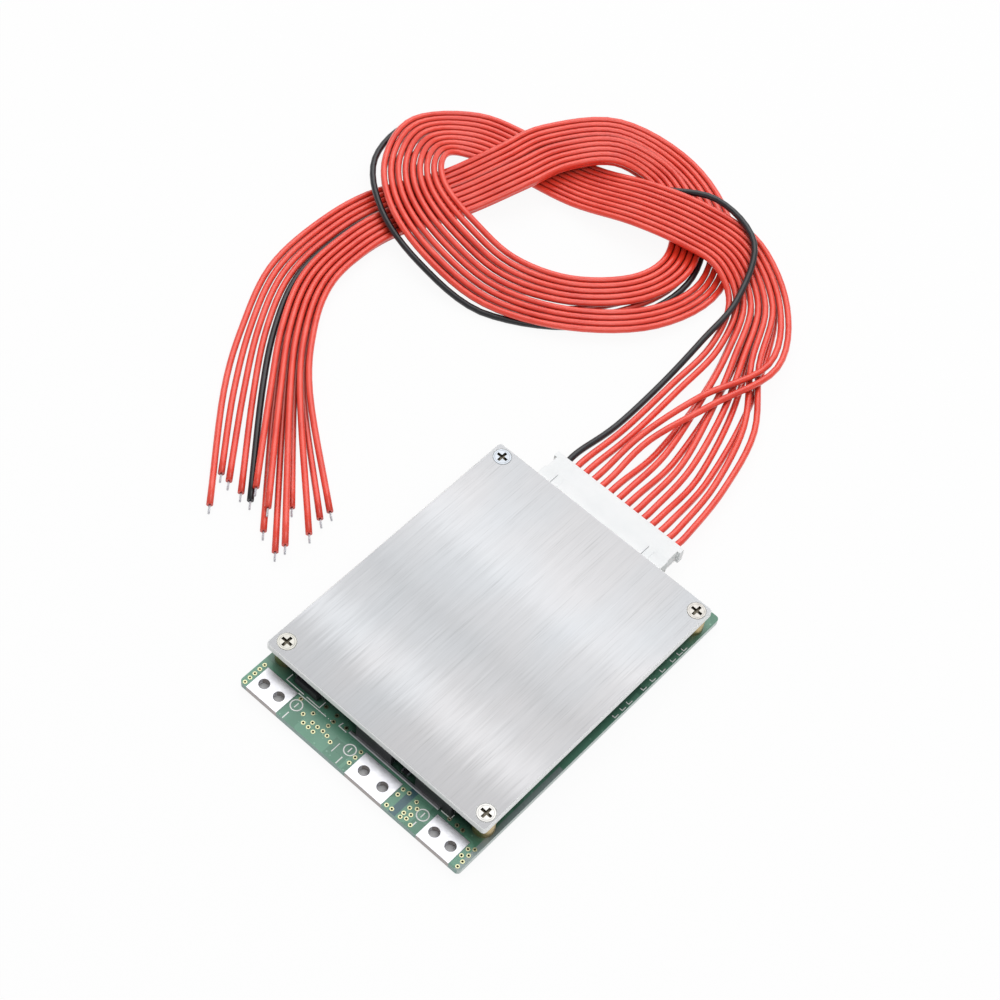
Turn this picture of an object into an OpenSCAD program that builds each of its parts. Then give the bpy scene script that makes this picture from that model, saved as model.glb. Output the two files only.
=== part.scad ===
// Battery management board: a green circuit board with three pairs of power holes, power
// transistors under a brushed heat plate, and a 14-way plug with a long harness.
// X runs along the terminal edge, Y from the terminal edge to the plug, Z up. Millimetres.
// The origin is the middle of the underside of the board and its plug.

/* [Board] */
// Length of the board along its terminal edge
board_l = 64; // [62:1:80]
// Width of the board, from the terminal edge to the plug edge
board_w = 86.7; // [84:0.1:100]
// Thickness of the board
board_t = 1.6; // [0.8:0.1:2.4]
// Corner radius of the board
board_r = 1; // [0.5:0.1:3]
// Thickness of the insulation sheet under the board
sheet_t = 0.5; // [0.4:0.1:1]
// How far the sheet stays inside the board's outline
sheet_in = 0.2; // [0.1:0.1:1]
// How far the sheet stays inside the board's left edge
sheet_in_left = 1.2; // [0.5:0.1:2]

/* [Heat plate] */
// Length of the heat plate, along X
plate_l = 63.4; // [58:0.1:64]
// Width of the heat plate, along Y
plate_w = 75.4; // [60:0.1:76]
// Thickness of the heat plate
plate_t = 2; // [1:0.1:4]
// Corner radius of the heat plate
plate_r = 0.9; // [0.5:0.1:3]
// Bevel round the heat plate's edges
plate_bevel = 0.2; // [0.1:0.05:0.4]
// Distance from the board's terminal edge to the heat plate
plate_setback = 7.9; // [7.6:0.1:10]

/* [Screws and standoffs] */
// Distance from the plate's left edge to the left screws
screw_in_left = 3; // [2.6:0.1:6]
// Distance from the plate's right edge to the right screws
screw_in_right = 2.6; // [2.4:0.1:6]
// Distance from the plate's front edge to the front screws
screw_in_front = 3.4; // [2.6:0.1:6]
// Distance from the plate's back edge to the back screws
screw_in_back = 2.7; // [2.4:0.1:6]
// Diameter of the screw's shank
screw_d = 2.5; // [2:0.1:3]
// Length of the screw, with its countersunk head
screw_len = 6; // [4:0.5:6.5]
// Diameter of the screw's head
head_d = 4.3; // [3.8:0.1:4.8]
// Height of the screw's countersunk head
head_h = 1.1; // [0.8:0.1:1.6]
// Length of the cross recess
recess_l = 2.8; // [2:0.1:3]
// Width of the cross recess
recess_w = 0.7; // [0.5:0.1:1]
// Depth of the cross recess
recess_h = 0.6; // [0.4:0.1:0.9]
// Play between the screw's shank and the plate's hole
hole_play = 0.2; // [0.1:0.05:0.4]
// Play between the screw's shank and the standoff's thread
thread_play = 0.05; // [0.02:0.01:0.1]
// Diameter of the standoffs
standoff_d = 5; // [4.5:0.1:5.2]

/* [Power pads] */
// Thickness of the tinned plating
pad_t = 0.1; // [0.05:0.05:0.2]
// Depth of the pads from the terminal edge
pad_depth = 6.7; // [6:0.1:7]
// Distance from the board's left edge to the battery pad
pad_b_x = 2.1; // [2:0.1:3]
// Width of the battery pad
pad_b_w = 9; // [8:0.1:9.4]
// Distance from the board's right edge to the pack pad's left side
pad_p_x = 32.6; // [32:0.1:32.8]
// Width of the pack pad
pad_p_w = 10.6; // [9:0.1:10.7]
// Distance from the board's right edge to the charge pad's left side
pad_c_x = 12; // [11.8:0.1:12.6]
// Width of the charge pad
pad_c_w = 9.2; // [8:0.1:9.2]
// Diameter of the wire holes
wire_hole_d = 2.6; // [2:0.1:3]
// Distance from the terminal edge to the wire holes
wire_hole_in = 3.2; // [2.6:0.1:4]
// Distance between the battery pad's wire holes
pitch_b = 4.4; // [4:0.1:5]
// Distance between the pack pad's wire holes
pitch_p = 5.4; // [4:0.1:6]
// Distance between the charge pad's wire holes
pitch_c = 4.6; // [4:0.1:5]
// Wall of the plated barrels in the wire holes
barrel_wall = 0.2; // [0.1:0.05:0.3]
// Diameter of the small plated holes
via_d = 0.5; // [0.3:0.05:0.6]
// Diameter of the tinned rings round the small plated holes
via_ring_d = 1; // [0.8:0.05:1.2]

/* [Transistors] */
// Width of a transistor
fet_w = 10.2; // [8:0.1:10.4]
// Depth of a transistor's body
fet_d = 9.2; // [8:0.1:9.6]
// Height of a transistor above the board
fet_h = 4.4; // [4:0.1:6]
// Distance from the terminal edge to the first transistors
fet_in = 8.1; // [8:0.1:9]
// Distance from the heat plate's right edge to the middle of the left transistors
fet_x_left = 31.4; // [31:0.1:32]
// Distance from the heat plate's right edge to the middle of the right transistors
fet_x_right = 14.2; // [14:0.1:15]
// Distance between the rows of transistors
fet_pitch = 14.5; // [13.6:0.1:15]
// Thickness of the drain tabs
tab_t = 1.3; // [1:0.1:1.6]
// How far the drain tabs reach past the bodies
tab_out = 1.3; // [0.8:0.1:1.5]
// Width of a transistor's leads
lead_w = 0.8; // [0.5:0.1:1]
// Thickness of a transistor's leads
lead_t = 0.4; // [0.3:0.05:0.5]
// Distance between a transistor's leads
lead_pitch = 1.7; // [1.4:0.1:2]
// Reach of the leads that land on the board
lead_out = 2; // [1.4:0.1:2.2]
// Thickness of the thermal pad between the transistors and the heat plate
thermal_t = 0.3; // [0.2:0.1:1]
// Height of the tinned bus strip in front of the first transistors
bus_h = 0.4; // [0.3:0.05:0.9]
// Width of the tinned bus strip
bus_w = 0.7; // [0.5:0.1:1.2]
// Length of the tinned bus strip
bus_l = 25.9; // [22:0.1:28]

/* [Connector] */
// Distance between neighbouring contacts
way_pitch = 2.5; // [2.5:0.05:2.6]
// Distance from the board's middle to the connector's middle, towards the left
conn_left = 3; // [0:0.5:6]
// Height of the header above the board
header_h = 4.4; // [4.2:0.1:4.6]
// Depth of the header, along Y
header_d = 7.6; // [7:0.1:8]
// Wall of the header at its ends
header_wall = 0.7; // [0.5:0.1:0.8]
// How far the header's mouth stands out past the board's edge
header_out = 0.7; // [0:0.1:1]
// Height of the plug's body
plug_h = 4; // [3.6:0.1:4.2]
// Length of the plug behind the header's mouth
plug_back = 5.2; // [4.6:0.1:7]
// Play between the plug's nose and the header
plug_play = 0.1; // [0.05:0.05:0.2]
// Width of the two keys on the plug
key_w = 1.8; // [1:0.1:3]
// How far the two keys reach into the header's roof
key_l = 3.2; // [2:0.1:4]
// Width of the square contact pins
pin_w = 0.64; // [0.5:0.02:0.7]
// Width of the plug's contact chambers
chamber_w = 1.7; // [1.6:0.05:1.9]
// Width of the crimp contacts
contact_w = 1.5; // [1.3:0.05:1.55]

/* [Harness] */
// Outer diameter of the wires
wire_d = 1.6; // [1.2:0.1:1.6]
// Diameter of the bare, tinned ends
tip_d = 0.55; // [0.3:0.05:0.8]
// Length of the bare, tinned ends
tip_l = 2.5; // [1:0.5:5]

/* [Hidden] */
$fn = 48;
eps = 0.01;

// Heights, from the surface that the sheet lies on
board_z = sheet_t;
top_z = board_z + board_t;
standoff_h = fet_h + thermal_t;
plate_z = top_z + standoff_h;
plate_top = plate_z + plate_t;

// Places in plan
plug_out = header_out + plug_back;
total_w = board_w + plug_out;
front_y = -total_w / 2;
back_y = front_y + board_w;
plate_left = 0.3;
plate_x0 = -plate_l / 2 - plate_left;
plate_x1 = plate_x0 + plate_l;
plate_y0 = front_y + plate_setback;
plate_y1 = plate_y0 + plate_w;
SCREWS = [[plate_x0 + screw_in_left, plate_y0 + screw_in_front],
          [plate_x1 - screw_in_right, plate_y0 + screw_in_front],
          [plate_x1 - screw_in_right, plate_y1 - screw_in_back],
          [plate_x0 + screw_in_left, plate_y1 - screw_in_back]];
// The heads lie this far below the plate's face, and have this much straight rim
head_sink = 0.05;
head_rim = 0.1;
head_slope = (head_d - screw_d) / 2 / (head_h - head_rim);
// Power pads: left side, width, distance between the two holes
left_x = -board_l / 2;
right_x = board_l / 2;
PADS = [[left_x + pad_b_x, pad_b_w, pitch_b], [right_x - pad_p_x, pad_p_w, pitch_p],
        [right_x - pad_c_x, pad_c_w, pitch_c]];
hole_y = front_y + wire_hole_in;
PAD_HOLES = [for (p = PADS, s = [-1, 1]) [p[0] + p[1] / 2 + s * p[2] / 2, hole_y]];
barrel_r = wire_hole_d / 2 + barrel_wall;
collar_out = 0.4;
sheet_play = 0.2;
collar_r = barrel_r + collar_out;

// Small plated holes, in units of the grid, from the board's left and right front corners
via_grid = 1;
LEFT_VIAS = [for (k = [0:4]) [1.1, 0.7 + 1.48 * k],
             each [[12.5, 6.2], [15.4, 3.9], [16.8, 5.5], [16.9, 2.4], [18.3, 3.8], [18.4, 2.4]],
             each [[19.8, 3.8], [19.9, 2.3], [21.3, 3.9], [21.2, 5.6], [22.7, 3.7], [24.2, 3.1]],
             each [[17.7, 8.6], [20.8, 8.7], [21.3, 7.1], [24.3, 7.9]]];
RIGHT_VIAS = [for (k = [0:2]) [33.5, 2.4 + 1.8 * k],
              each [[21.1, 5.9], [21.1, 4.2], [19.6, 6.1], [21.1, 0.8], [19.7, 0.9], [17.1, 5.7], [17.2, 3.7]],
              each [[15.9, 4.6], [17.3, 2], [15.9, 2.7], [17.2, 0.8], [16, 1.4], [14.4, 0.9]],
              each [[9.5, 7.7], [7.4, 7.7], [5.8, 7.7]],
              each [[2.1, 5.3], [1, 6.2], [2.1, 3.3], [1, 4.3], [1, 2.4], [1, 0.9]]];
VIAS = [for (v = LEFT_VIAS) [left_x + via_grid * v[0], front_y + via_grid * v[1]],
        for (v = RIGHT_VIAS) [right_x - via_grid * v[0], front_y + via_grid * v[1]]];
via_wall = 0.1;
via_cap = 0.04;
via_r = via_d / 2 + via_wall;

// Transistors: three rows of two
fet_y = front_y + fet_in;
function fet_at(i) = [plate_x1 - (i % 2 == 0 ? fet_x_left : fet_x_right), fet_y + floor(i / 2) * fet_pitch];
fet_bevel = 0.3;
fet_foot = 1.1;
fet_lift = 0.1;
lead_exit = 1.4;
lead_neck = 0.2;
leads_per_fet = 5;
bus_x0 = fet_at(0)[0] - fet_w / 2 - 1.4;
thermal_in = 0.6;

// Diode at the battery side, and the chips: [length, width, height, terminal]
DIODE = [8.6, 5.9, 2.3, 1];
diode_in = 12;
diode_x = plate_x0 + diode_in;
diode_foot = 0.25;
SHUNT = [6.4, 3.2, 0.7, 0.9];
shunt_x = diode_x;
shunt_in = 9.9;
shunt_y = fet_y + shunt_in;
shunt_pitch = 4.6;
CHIP = [2, 1.25, 0.6, 0.4];
chip_pitch = 2.9;
chip_in_x = 2.9;
chip_in_y = 9;
chip_rows = 3.7;
chip_x = right_x - chip_in_x;
chip_y = plate_y1 - chip_in_y;
CHIP_PLACES = [for (c = [0, 1], k = [0:8]) [chip_x - chip_rows * c, chip_y - chip_pitch * k, (c + k) % 2 * 90],
               for (k = [0:2]) [(fet_at(0)[0] + fet_at(1)[0]) / 2, fet_y + 1.2 + 2.3 * k, 0]];
UNDER_CHIP = [1.2, 0.8, sheet_t - 0.1, 0.25];
under_pitch = 1.7;
under_count = 6;
under_x = right_x - 0.8;
under_y = front_y + 2.4;

// Control circuit under the plate
ic_in_x = 22;
ic_in_y = 23;
ic_x = plate_x0 + ic_in_x;
ic_y = plate_y1 - ic_in_y;
ic_w = 10;
ic_h = 1.5;
ic_leads = 10;
ic_pitch = 0.8;
ic_lead_w = 0.35;
ic_lead_t = 0.2;
ic_reach = 1;

// Connector
ways = 14;
conn_x = -conn_left;
row_l = (ways - 1) * way_pitch;
end_room = 2.15;
header_l = row_l + 2 * end_room;
mouth_y = back_y + header_out;
header_y0 = mouth_y - header_d;
plug_y1 = mouth_y + plug_back;
plug_l = header_l - 0.6;
flange_l = header_l + 1;
flange_d = 1.5;
key_x = row_l * 0.42;
lance_w = 1;
lance_d = 1.6;
pin_z = top_z + header_h / 2;
plug_z0 = pin_z - plug_h / 2;
nose_h = header_h - 1.5;
back_wall = 1.5;
tail_y = header_y0 - 1.2;
pin_hole_r = pin_w / 2 * sqrt(2) + 0.05;
pin_below = sheet_t - 0.1;
contact_y0 = header_y0 + back_wall + 1.2;
pin_tip_y = mouth_y - 1.4;
function way_x(i) = conn_x + (i - (ways - 1) / 2) * way_pitch;

// Harness. Each wire has a layer in the strand (0 floor, 1 inner top, 2 outer top, 3 the black wire)
// and a rank within that layer.
LAYER = [3, 1, 1, 2, 2, 0, 1, 0, 1, 1, 0, 0, 2, 2];
RANK = [0, -2, -1, 0.5, 1.5, -1.5, 0, -0.5, 1, 2, 0.5, 1.5, -1.5, -0.5];
wire_z = wire_d / 2 + 0.02;
layer_h = 1.68;
lead_len = 5;
// The fan behind the plug, where the wires cross: x, y, then each wire's sideways place and its
// height in layers
FAN = [
    [-4, 66, [for (i = [0:ways - 1]) (i - (ways - 1) / 2) * 2.3],
     [0.6, 1.15, 1.15, 2.2, 2.2, 0, 1.15, 0, 1.15, 1.15, 0, 0, 1.15, 1.15]],
    [-6.5, 84, [-13, -10.8, -8.6, -3, 0.6, -3.4, -2.6, 0.2, 0.8, 3.4, 5.4, 8.4, 9.4, 12.2],
     [0.6, 1.1, 1.1, 2.15, 2.15, 0, 1.1, 0, 1.1, 1.1, 0, 0, 1.1, 1.1]],
    [-10, 101, [-10.5, -8.4, -6.4, 6.4, 8.6, -4.4, -4, -1.4, -2, 0.1, 1.6, 5.4, 2.3, 4.3],
     [2, 1.05, 1.05, 2.1, 2.1, 0, 1.05, 0, 1.05, 1.05, 0, 0, 1.05, 1.05]]
];
// Stations along the strand after the fan: x, y, lift, spacing, floor spread, sideways place of the
// floor, inner, outer and black wires, then the height of the outer and black layers
STATIONS = [
    [-17.5, 116.5, 0.6, 1.8, 1.6, 0, -3.6, 4.5, -5.5, 1, 2.1],
    [-30, 123.5, 3.2, 1.75, 1.6, 0, -3.5, 4.4, 4.5, 1, 2.2],
    [-43, 123, 3.5, 1.8, 1.6, 0.5, -3.6, 4.5, 10, 1, 1.5],
    [-57, 119, 3.4, 1.75, 1.5, -0.5, -3.5, 4.4, 7.8, 1, 0],
    [-73, 115, 0, 1.72, 1.5, -0.5, -3.4, 4.3, 6.8, 1, 0],
    [-90, 111.5, 0, 1.72, 1.5, -0.5, -3.4, 4.3, 6.4, 1, 0],
    [-103, 107.3, 0.2, 1.76, 1.5, 0, -3.4, 4.5, 6.4, 1, 0],
    [-109.5, 98, 1.6, 1.74, 1.6, 1, -3.1, 4.9, 7.8, 1, 0],
    [-106, 86, 4.6, 1.75, 1.6, 2, -4.2, 3.7, 9, 1, 0], [-97, 78.5, 4.2, 1.9, 1.7, 1.5, -4.6, 4, 9, 1, 0],
    [-83, 75, 3, 2.1, 1.7, 1, -4.8, 4.6, 9.4, 1, 0], [-67, 76, 0, 2.1, 1.7, 0.5, -4.8, 4.6, 9.2, 1, 0],
    [-51, 84, 0, 1.85, 1.6, -0.5, -3.7, 5.2, 6.6, 1, 0],
    [-39.5, 98, 0, 1.75, 1.3, -2.6, -3, 6.6, 3.3, 1, 0], [-37, 113, 0, 1.72, 1, -3, -3, 6.6, 1.6, 0, 0],
    [-45, 126.5, 0, 1.72, 1, -3, -3, 6.4, 1.6, 0, 0], [-60, 134, 0.6, 1.72, 1, -3.2, -2.6, 5.6, 1.2, 0, 0],
    [-74.5, 129.5, 4.2, 1.72, 1, -3.2, -3, 6, 1.5, 0, 0], [-84, 117, 4, 1.72, 1, -3.2, -3, 6.1, 1.6, 0, 0],
    [-87, 103.5, 4.6, 1.72, 1, -3.2, -3, 5.7, 1.3, 0, 0],
    [-93.5, 89, 0.7, 1.72, 1, -3.2, -3, 5.7, 1.3, 0, 0], [-101, 72, 0, 1.72, 1, -3.2, -3, 6.1, 1.6, 0, 0],
    [-102.5, 57, 0, 1.72, 1, -3, -3, 6.2, 1.9, 0, 0], [-100.5, 43, 0, 1.8, 1, -3, -3, 6.6, 2.2, 0, 0],
    [-93, 29, 0, 1.9, 1, -3, -3, 7.3, 2.6, 0, 0], [-81, 14, 0, 2.3, 1, -3, -3.2, 8.8, 3.4, 0, 0]
];
// Where each jacket ends: x, y, layers up
ENDS = [[-64.1, -11.2, 0], [-49.4, -0.5, 0], [-48.3, -8.4, 0.3], [-74, -10.7, 0], [-69.7, -18.5, 0],
        [-49.6, -3.5, 0], [-49.4, -14.9, 1], [-56.2, -5.9, 0], [-59.2, -10.5, 1], [-65, -8.5, 1],
        [-50.4, -17, 0], [-56.2, -14.9, 0], [-67.1, -11.2, 0], [-71.3, -10.9, 0]];
// The point that the strand's end heads for
AIM = [-62, -9];
steps = 2;
sides = 8;

// --- Common shapes ---

module rounded(l, w, r) {
    square([l - 2 * r, w], center = true);
    square([l, w - 2 * r], center = true);
    for (x = [-1, 1], y = [-1, 1]) translate([x * (l / 2 - r), y * (w / 2 - r)]) circle(r);
}

// A rounded plate with bevelled edges, made of two crossing slabs and four corner posts
module bevelled_plate(l, w, t, r, c) {
    rotate([90, 0, 90]) linear_extrude(l - 2 * r, center = true) bevelled_bar(w, t, c);
    rotate([90, 0, 0]) linear_extrude(w - 2 * r, center = true) bevelled_bar(l, t, c);
    for (x = [-1, 1], y = [-1, 1]) translate([x * (l / 2 - r), y * (w / 2 - r)])
        rotate_extrude() polygon([[0, 0], [r - c, 0], [r, c], [r, t - c], [r - c, t], [0, t]]);
}

module bevelled_bar(w, t, c) {
    polygon([[-w / 2 + c, 0], [w / 2 - c, 0], [w / 2, c], [w / 2, t - c],
             [w / 2 - c, t], [-w / 2 + c, t], [-w / 2, t - c], [-w / 2, c]]);
}

module block(x, y, z) { translate([-x / 2, -y / 2, 0]) cube([x, y, z]); }

module tube(r, bore_r, h) {
    difference() {
        cylinder(h, r = r);
        translate([0, 0, -eps]) cylinder(h + 2 * eps, r = bore_r);
    }
}

// Body and end caps of a chip: c is its length, width, height and terminal length
module chip_body(c) { block(c[0] - 2 * c[3], c[1], c[2] - 0.05); }

module chip_caps(c) {
    for (s = [-1, 1]) translate([s * (c[0] - c[3]) / 2, 0, 0]) block(c[3], c[1], c[2]);
}

// --- Board ---

module pcb() {
    color("seagreen") difference() {
        translate([0, front_y + board_w / 2, board_z])
            linear_extrude(board_t) rounded(board_l, board_w, board_r);
        for (h = PAD_HOLES) translate([h[0], h[1], 0]) cylinder(top_z + 1, r = barrel_r);
        for (v = VIAS) translate([v[0], v[1], 0]) cylinder(top_z + 1, r = via_r);
        for (i = [0:ways - 1]) translate([way_x(i), tail_y, 0]) cylinder(top_z + 1, r = pin_hole_r);
        for (p = PADS) translate([p[0], front_y - 1, 0]) cube([p[1], 1 + pad_t, top_z + 1]);
    }
}

// Plated eyelets of the small holes
module vias() {
    color("gainsboro") for (v = VIAS) translate([v[0], v[1], board_z]) {
        tube(via_r, via_d / 2, board_t + eps);
        translate([0, 0, board_t]) tube(via_ring_d / 2, via_d / 2, via_cap);
    }
}

module insulation_sheet() {
    l = board_l - sheet_in_left - sheet_in;
    w = board_w - 2 * sheet_in;
    color([0.06, 0.06, 0.07]) difference() {
        translate([(sheet_in_left - sheet_in) / 2, front_y + board_w / 2, 0])
            linear_extrude(sheet_t) rounded(l, w, board_r);
        for (h = PAD_HOLES) translate([h[0], h[1], -1]) cylinder(sheet_t + 2, r = collar_r + sheet_play);
        for (p = PADS) translate([p[0] + p[1] / 2, hole_y, -1])
            block(p[2], 2 * (collar_r + sheet_play), sheet_t + 2);
        translate([conn_x, tail_y, -1]) block(row_l + 3, 2.6, sheet_t + 2);
        translate([under_x - 0.6, under_y - 0.9, -1]) cube([3, under_pitch * under_count, sheet_t + 2]);
    }
}

// Plating of a power pad: top, front edge, barrels through the board and collars below
module pad(p) {
    x = p[0];
    color("silver") difference() {
        union() {
            translate([x, front_y, top_z]) cube([p[1], pad_depth, pad_t]);
            translate([x, front_y, board_z]) cube([p[1], pad_t, board_t + eps]);
            for (s = [-1, 1]) translate([x + p[1] / 2 + s * p[2] / 2, hole_y, board_z - pad_t]) {
                cylinder(board_t + pad_t + eps, r = barrel_r);
                cylinder(pad_t, r = collar_r);
            }
        }
        for (s = [-1, 1]) translate([x + p[1] / 2 + s * p[2] / 2, hole_y, 0])
            cylinder(top_z + 1, r = wire_hole_d / 2);
    }
}

// --- Heat plate and what carries it ---

module heatsink_plate() {
    bore = screw_d / 2 + hole_play;
    rim = head_d / 2 + (head_rim + head_sink) * head_slope;
    cone_z = -head_sink - head_h + hole_play / head_slope;
    color([0.84, 0.85, 0.87]) difference() {
        translate([(plate_x0 + plate_x1) / 2, (plate_y0 + plate_y1) / 2, plate_z])
            bevelled_plate(plate_l, plate_w, plate_t, plate_r, plate_bevel);
        for (s = SCREWS) translate([s[0], s[1], plate_top]) rotate_extrude()
            polygon([[0, -plate_t - 1], [bore, -plate_t - 1], [bore, cone_z], [rim, 0], [rim, 1], [0, 1]]);
    }
}

// Countersunk screw with a cross recess
module screw(s) {
    r = screw_d / 2;
    h = head_d / 2;
    color([0.88, 0.88, 0.86]) translate([s[0], s[1], plate_top - head_sink]) difference() {
        rotate_extrude()
            polygon([[0, -screw_len], [r, -screw_len], [r, -head_h], [h, -head_rim], [h - head_rim / 2, 0],
                     [0, 0]]);
        translate([0, 0, -recess_h]) block(recess_l, recess_w, recess_h + 1);
        translate([0, 0, -recess_h]) block(recess_w, recess_l, recess_h + 1);
    }
}

module standoff(s) {
    color("goldenrod") translate([s[0], s[1], top_z])
        tube(standoff_d / 2, screw_d / 2 + thread_play, standoff_h);
}

module thermal_pad() {
    x0 = fet_at(0)[0] - fet_w / 2 - 1;
    x1 = fet_at(1)[0] + fet_w / 2 + 1;
    y1 = fet_at(4)[1] + fet_d;
    color("slategray") translate([x0, fet_y + thermal_in, plate_z - thermal_t])
        cube([x1 - x0, y1 - fet_y - thermal_in, thermal_t]);
}

// --- Transistors ---

// The first row has its leads at the back, and its tab ends under the body
module mosfet(i) {
    b = fet_bevel;
    front = [[0, fet_lift], [fet_foot, fet_lift], [fet_foot, tab_t]];
    foot = [[fet_d - fet_foot, tab_t], [fet_d - fet_foot, fet_lift], [fet_d, fet_lift]];
    top = [[fet_d, fet_h - b], [fet_d - b, fet_h], [b, fet_h], [0, fet_h - 2 * b]];
    color([0.1, 0.1, 0.11]) translate([fet_at(i)[0], fet_at(i)[1], top_z]) rotate([90, 0, 90])
        linear_extrude(fet_w, center = true) polygon(concat(front, i < 2 ? foot : [[fet_d, tab_t]], top));
}

// Drain tab and the bent leads
module leadframe(i) {
    tab_l = i < 2 ? fet_d - 2 * fet_foot : fet_d + tab_out - fet_foot;
    e = lead_exit;
    n = lead_neck;
    t = lead_t;
    bend = [[0, e], [0, e + t], [-n - t, e + t], [-n - t, t],
            [-lead_out, t], [-lead_out, 0], [-n, 0], [-n, e]];
    color("silver") translate([fet_at(i)[0], fet_at(i)[1], top_z]) {
        translate([0, fet_foot + tab_l / 2, 0]) block(fet_w, tab_l, tab_t);
        translate([0, i < 2 ? fet_d : 0, 0]) rotate([0, 0, i < 2 ? 180 : 0])
            for (k = [0:leads_per_fet - 1]) translate([(k - (leads_per_fet - 1) / 2) * lead_pitch, 0, 0])
                rotate([90, 0, 90]) linear_extrude(lead_w, center = true) polygon(bend);
    }
}

module bus_strip() {
    color("silver") translate([bus_x0, fet_y - bus_w, top_z]) rotate([90, 0, 90])
        linear_extrude(bus_l) polygon([[0, 0], [bus_w, 0], [bus_w, bus_h], [0.15, bus_h], [0, bus_h - 0.15]]);
}

// --- Diode, shunts, chips and the control circuit ---

module at_diode() { translate([diode_x, fet_y + DIODE[1] / 2, top_z]) children(); }

module diode_body() {
    l = DIODE[0] - 2 * DIODE[3];
    h = DIODE[2];
    half = l / 2;
    color([0.09, 0.09, 0.1]) at_diode() rotate([90, 0, 0]) linear_extrude(DIODE[1], center = true)
        polygon([[-half, 0], [half, 0], [half, h * 0.6], [half - 0.3, h], [-half + 0.3, h], [-half, h * 0.6]]);
}

module diode_leads() {
    t = diode_foot;
    half = DIODE[0] / 2;
    color("silver") at_diode() for (s = [0, 180]) rotate([0, 0, s]) rotate([90, 0, 0])
        linear_extrude(DIODE[1] * 0.55, center = true)
            polygon([[half - DIODE[3], 0], [half, 0], [half, DIODE[2] * 0.5], [half - DIODE[3], DIODE[2] * 0.5],
                     [half - DIODE[3], DIODE[2] * 0.5 - t], [half - t, DIODE[2] * 0.5 - t],
                     [half - t, t], [half - DIODE[3], t]]);
}

module at_shunts() {
    for (k = [0:3]) translate([shunt_x, shunt_y + k * shunt_pitch, top_z]) children();
}

module shunt_resistors() { color([0.12, 0.12, 0.13]) at_shunts() chip_body(SHUNT); }

module shunt_terminals() { color("silver") at_shunts() chip_caps(SHUNT); }

module at_chips() {
    for (c = CHIP_PLACES) translate([c[0], c[1], top_z]) rotate([0, 0, c[2]]) children();
}

module chips() { color([0.14, 0.14, 0.15]) at_chips() chip_body(CHIP); }

module chip_terminals() { color("gainsboro") at_chips() chip_caps(CHIP); }

module at_underside() {
    for (k = [0:under_count - 1]) translate([under_x, under_y + k * under_pitch, board_z])
        rotate([180, 0, 90]) children();
}

module underside_chips() { color([0.1, 0.1, 0.1]) at_underside() chip_body(UNDER_CHIP); }

module underside_terminals() { color("gainsboro") at_underside() chip_caps(UNDER_CHIP); }

module control_ic() {
    color([0.11, 0.11, 0.12]) translate([ic_x, ic_y, top_z + 0.1]) block(ic_w, ic_w, ic_h);
}

module control_ic_leads() {
    h = ic_h / 2 + 0.1;
    t = ic_lead_t;
    r = ic_reach;
    bend = [[0, h], [0, h - t], [r * 0.4 - t, h - t], [r * 0.4 - t, 0],
            [r, 0], [r, t], [r * 0.4, t], [r * 0.4, h]];
    color("gainsboro") translate([ic_x, ic_y, top_z]) for (a = [0:90:270], k = [0:ic_leads - 1])
        rotate([0, 0, a]) translate([ic_w / 2, (k - (ic_leads - 1) / 2) * ic_pitch, 0])
            rotate([90, 0, 0]) linear_extrude(ic_lead_w, center = true) polygon(bend);
}

// --- Connector ---

// Board header: a shroud open at its mouth, with two keyways in its roof for the plug's keys
module connector_header() {
    color("ivory") difference() {
        translate([conn_x - header_l / 2, header_y0, top_z]) cube([header_l, header_d, header_h]);
        translate([conn_x - header_l / 2 + header_wall, header_y0 + back_wall, pin_z - nose_h / 2])
            cube([header_l - 2 * header_wall, header_d, nose_h]);
        for (s = [-1, 1]) translate([conn_x + s * key_x - key_w / 2 - plug_play, mouth_y - key_l, pin_z])
            cube([key_w + 2 * plug_play, key_l + 1, header_h]);
        for (i = [0:ways - 1]) translate([way_x(i), header_y0 - 1, pin_z]) rotate([-90, 0, 0])
            block(pin_w, pin_w, back_wall + 2);
    }
}

module header_pins() {
    h = pin_w / 2;
    color("gainsboro") for (i = [0:ways - 1]) translate([way_x(i), 0, 0])
        rotate([90, 0, 90]) linear_extrude(pin_w, center = true)
            polygon([[tail_y - h, board_z - pin_below], [tail_y + h, board_z - pin_below],
                     [tail_y + h, pin_z - h], [pin_tip_y, pin_z - h], [pin_tip_y, pin_z + h], [tail_y - h, pin_z + h]]);
}

// Solder cones on the underside, round the pins' tails
module solder_joints() {
    color("silver") for (i = [0:ways - 1]) translate([way_x(i), tail_y, board_z - pin_below]) difference() {
        cylinder(pin_below, r1 = pin_w * 0.85, r2 = pin_hole_r + 0.4);
        translate([0, 0, -1]) block(pin_w, pin_w, sheet_t + 2);
    }
}

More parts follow.
